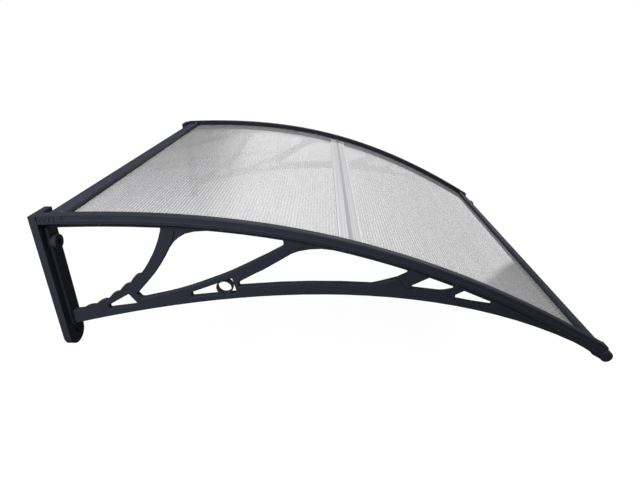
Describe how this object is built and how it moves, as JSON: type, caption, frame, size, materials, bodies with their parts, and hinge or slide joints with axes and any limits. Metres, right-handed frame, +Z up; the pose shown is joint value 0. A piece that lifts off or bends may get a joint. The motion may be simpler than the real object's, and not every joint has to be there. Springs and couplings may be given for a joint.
{
  "type": "door canopy",
  "caption": "Arched door canopy: moulded truss brackets carry a clear twin-wall polycarbonate roof between a wall rail and a front rail.",
  "frame": {"origin": "on the wall, midway between the brackets, at the height where the roof's curve starts", "axes": "-Y straight out from the wall, +X along the wall, +Z up"},
  "size_m": [0.878, 1.0125, 0.3032],
  "materials": {
    "moulded_plastic": "fine satin moulded charcoal plastic",
    "rail_aluminium": "satin charcoal powder coat on extruded aluminium",
    "clear_sheet": "clear twin-wall polycarbonate, glossy",
    "clear_strip": "clear extruded polycarbonate, glossy",
    "black_rubber": "matt black seal",
    "zinc_steel": "bright zinc plated steel"
  },
  "bodies": {
    "root": {"bracket_left": "moulded_plastic", "cover_strip_left": "moulded_plastic", "bracket_right": "moulded_plastic", "cover_strip_right": "moulded_plastic", "sheet_rear": "clear_sheet", "sheet_front": "clear_sheet", "joint_strip": "clear_strip", "wall_rail": "rail_aluminium", "front_rail": "rail_aluminium", "wall_rail_gasket": "black_rubber", "front_rail_gasket": "black_rubber", "wall_rail_screw_left": "zinc_steel", "front_rail_screw_left": "zinc_steel", "clamp_screw_left_1": "zinc_steel", "clamp_screw_left_2": "zinc_steel", "clamp_screw_left_3": "zinc_steel", "clamp_screw_left_4": "zinc_steel", "clamp_screw_left_5": "zinc_steel", "wall_rail_screw_right": "zinc_steel", "front_rail_screw_right": "zinc_steel", "clamp_screw_right_1": "zinc_steel", "clamp_screw_right_2": "zinc_steel", "clamp_screw_right_3": "zinc_steel", "clamp_screw_right_4": "zinc_steel", "clamp_screw_right_5": "zinc_steel"}
  },
  "joints": []
}
